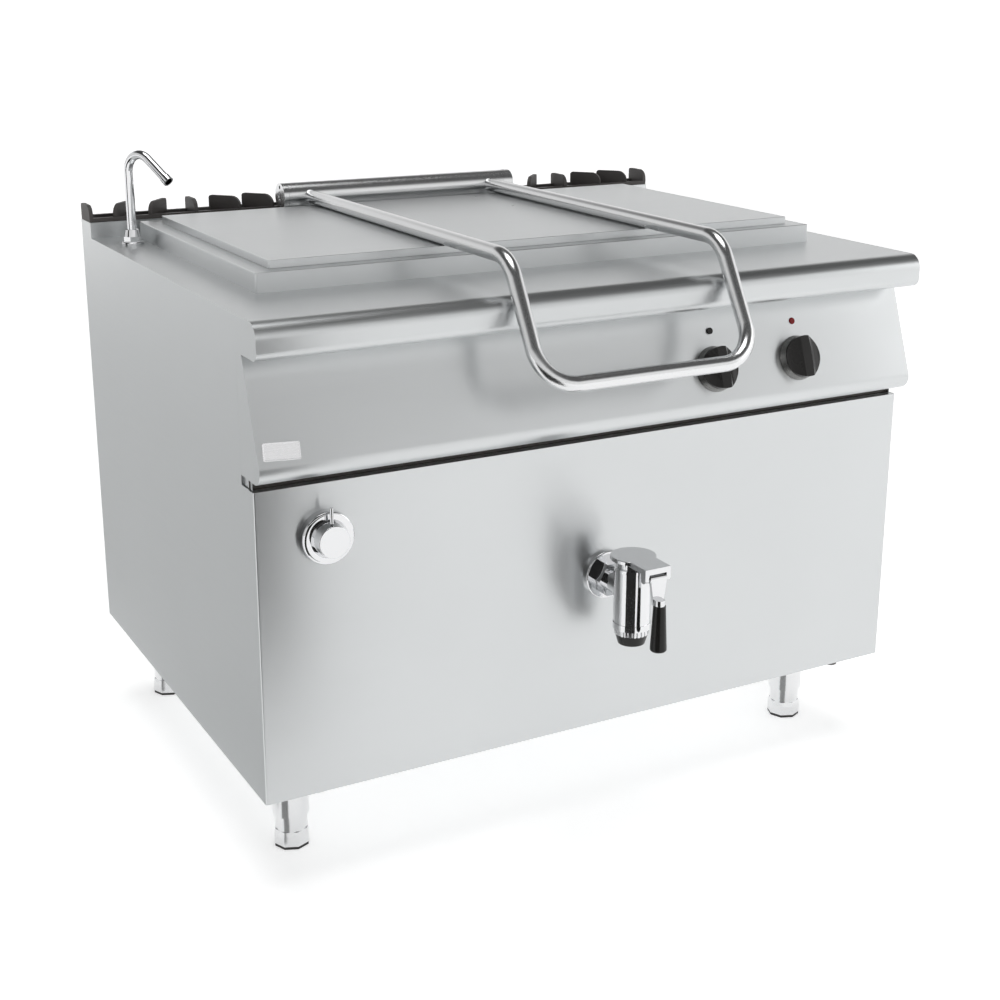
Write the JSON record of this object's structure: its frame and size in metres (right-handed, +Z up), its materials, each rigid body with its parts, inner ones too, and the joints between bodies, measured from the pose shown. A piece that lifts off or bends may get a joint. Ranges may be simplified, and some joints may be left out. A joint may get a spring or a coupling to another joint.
{
  "type": "steam jacketed kettle",
  "caption": "Rectangular steam jacketed boiling pan in a steel cabinet with a lifting lid, drain tap, water spout, flue grilles and adjustable feet",
  "frame": {"origin": "on the floor, under the middle of the object's whole outline", "axes": "+X to the right seen from the front, +Y towards the back, +Z up"},
  "size_m": [1.2, 1.0368, 1.076],
  "materials": {
    "body_steel": "satin brushed",
    "polished_steel": "polished",
    "chrome": "mirror",
    "cast": "satin, dark enamel",
    "black_plastic": "satin",
    "red_lens": "gloss",
    "brass": "satin",
    "dark_metal": "satin"
  },
  "bodies": {
    "cabinet": {"base_tray": "body_steel", "burner_feed": "dark_metal", "burner_tubes": "body_steel", "control_panel": "body_steel", "control_valves": "brass", "cooking_well": "polished_steel", "drain_pipe": "body_steel", "flue_ducts": "body_steel", "flue_grille_left": "cast", "flue_grille_right": "cast", "foot_sockets": "polished_steel", "front_crossbar": "dark_metal", "front_panel": "body_steel", "gas_manifold": "dark_metal", "hinge_end_left": "polished_steel", "hinge_end_right": "polished_steel", "hinge_shaft": "body_steel", "igniter_body": "black_plastic", "pan_rim": "body_steel", "pilot_lamp": "red_lens", "rear_panel": "body_steel", "rear_upstand": "body_steel", "side_panel_left": "body_steel", "side_panel_right": "body_steel", "spout_nut": "chrome", "steam_jacket": "body_steel", "tap_body": "chrome", "tap_cap": "chrome", "tap_flange": "chrome", "tap_nut": "chrome", "tap_outlet": "black_plastic", "tap_ring": "chrome", "valve_rosette": "chrome", "water_riser": "polished_steel", "water_supply_pipe": "polished_steel", "water_valve_body": "brass", "worktop": "body_steel"},
    "lid": {"lid_skin": "body_steel", "lid_liner": "body_steel", "lid_handle": "polished_steel", "hinge_barrel": "polished_steel"},
    "left_knob": {"knob_left": "black_plastic", "knob_skirt_left": "polished_steel"},
    "right_knob": {"knob_right": "black_plastic", "knob_skirt_right": "polished_steel"},
    "ignition_button": {"igniter_button": "black_plastic"},
    "water_spout": {"spout": "chrome"},
    "water_valve_lever": {"water_lever": "chrome"},
    "drain_tap_lever": {"drain_lever": "chrome", "lever_grip": "black_plastic"},
    "drain_tap_plunger": {"tap_plunger": "brass"},
    "foot_front_left": {"foot_leg_front_left": "polished_steel", "foot_pad_front_left": "black_plastic"},
    "foot_front_right": {"foot_leg_front_right": "polished_steel", "foot_pad_front_right": "black_plastic"},
    "foot_back_left": {"foot_leg_back_left": "polished_steel", "foot_pad_back_left": "black_plastic"},
    "foot_back_right": {"foot_leg_back_right": "polished_steel", "foot_pad_back_right": "black_plastic"}
  },
  "joints": [
    {"name": "lid_hinge", "type": "hinge", "parent": "cabinet", "child": "lid", "pos_m": [0, 0.4315, 0.9666], "axis": [-1, 0, 0], "range_deg": [0, 85]},
    {"name": "left_knob_turn", "type": "hinge", "parent": "cabinet", "child": "left_knob", "pos_m": [0.196, -0.36049, 0.75055], "axis": [0, -0.9426, 0.3338], "range_deg": [0, 180]},
    {"name": "right_knob_turn", "type": "hinge", "parent": "cabinet", "child": "right_knob", "pos_m": [0.366, -0.36049, 0.75055], "axis": [0, -0.9426, 0.3338], "range_deg": [0, 270]},
    {"name": "ignition_push", "type": "slide", "parent": "cabinet", "child": "ignition_button", "axis": [0, 0.9426, -0.3338], "range_m": [0, 0.003], "stiffness_N_per_m": 800},
    {"name": "spout_swivel", "type": "hinge", "parent": "cabinet", "child": "water_spout", "pos_m": [-0.551, 0.3615, 0.91], "axis": [0, 0, 1], "range_deg": [-90, 62]},
    {"name": "water_valve_turn", "type": "hinge", "parent": "cabinet", "child": "water_valve_lever", "pos_m": [-0.4907, -0.3485, 0.575], "axis": [0, 1, 0], "range_deg": [0, 90]},
    {"name": "drain_lever_lift", "type": "hinge", "parent": "cabinet", "child": "drain_tap_lever", "pos_m": [0, -0.495, 0.468], "axis": [-1, 0, 0], "range_deg": [0, 90]},
    {"name": "drain_plunger_lift", "type": "slide", "parent": "cabinet", "child": "drain_tap_plunger", "axis": [0, 0, 1], "range_m": [0, 0.015]},
    {"name": "foot_front_left_screw", "type": "slide", "parent": "cabinet", "child": "foot_front_left", "axis": [0, 0, -1], "range_m": [0, 0.03]},
    {"name": "foot_front_right_screw", "type": "slide", "parent": "cabinet", "child": "foot_front_right", "axis": [0, 0, -1], "range_m": [0, 0.03]},
    {"name": "foot_back_left_screw", "type": "slide", "parent": "cabinet", "child": "foot_back_left", "axis": [0, 0, -1], "range_m": [0, 0.03]},
    {"name": "foot_back_right_screw", "type": "slide", "parent": "cabinet", "child": "foot_back_right", "axis": [0, 0, -1], "range_m": [0, 0.03]}
  ],
  "couplings": [
    {"joint": "drain_plunger_lift", "follows": "drain_lever_lift", "m_per_rad": 0.0095493}
  ]
}
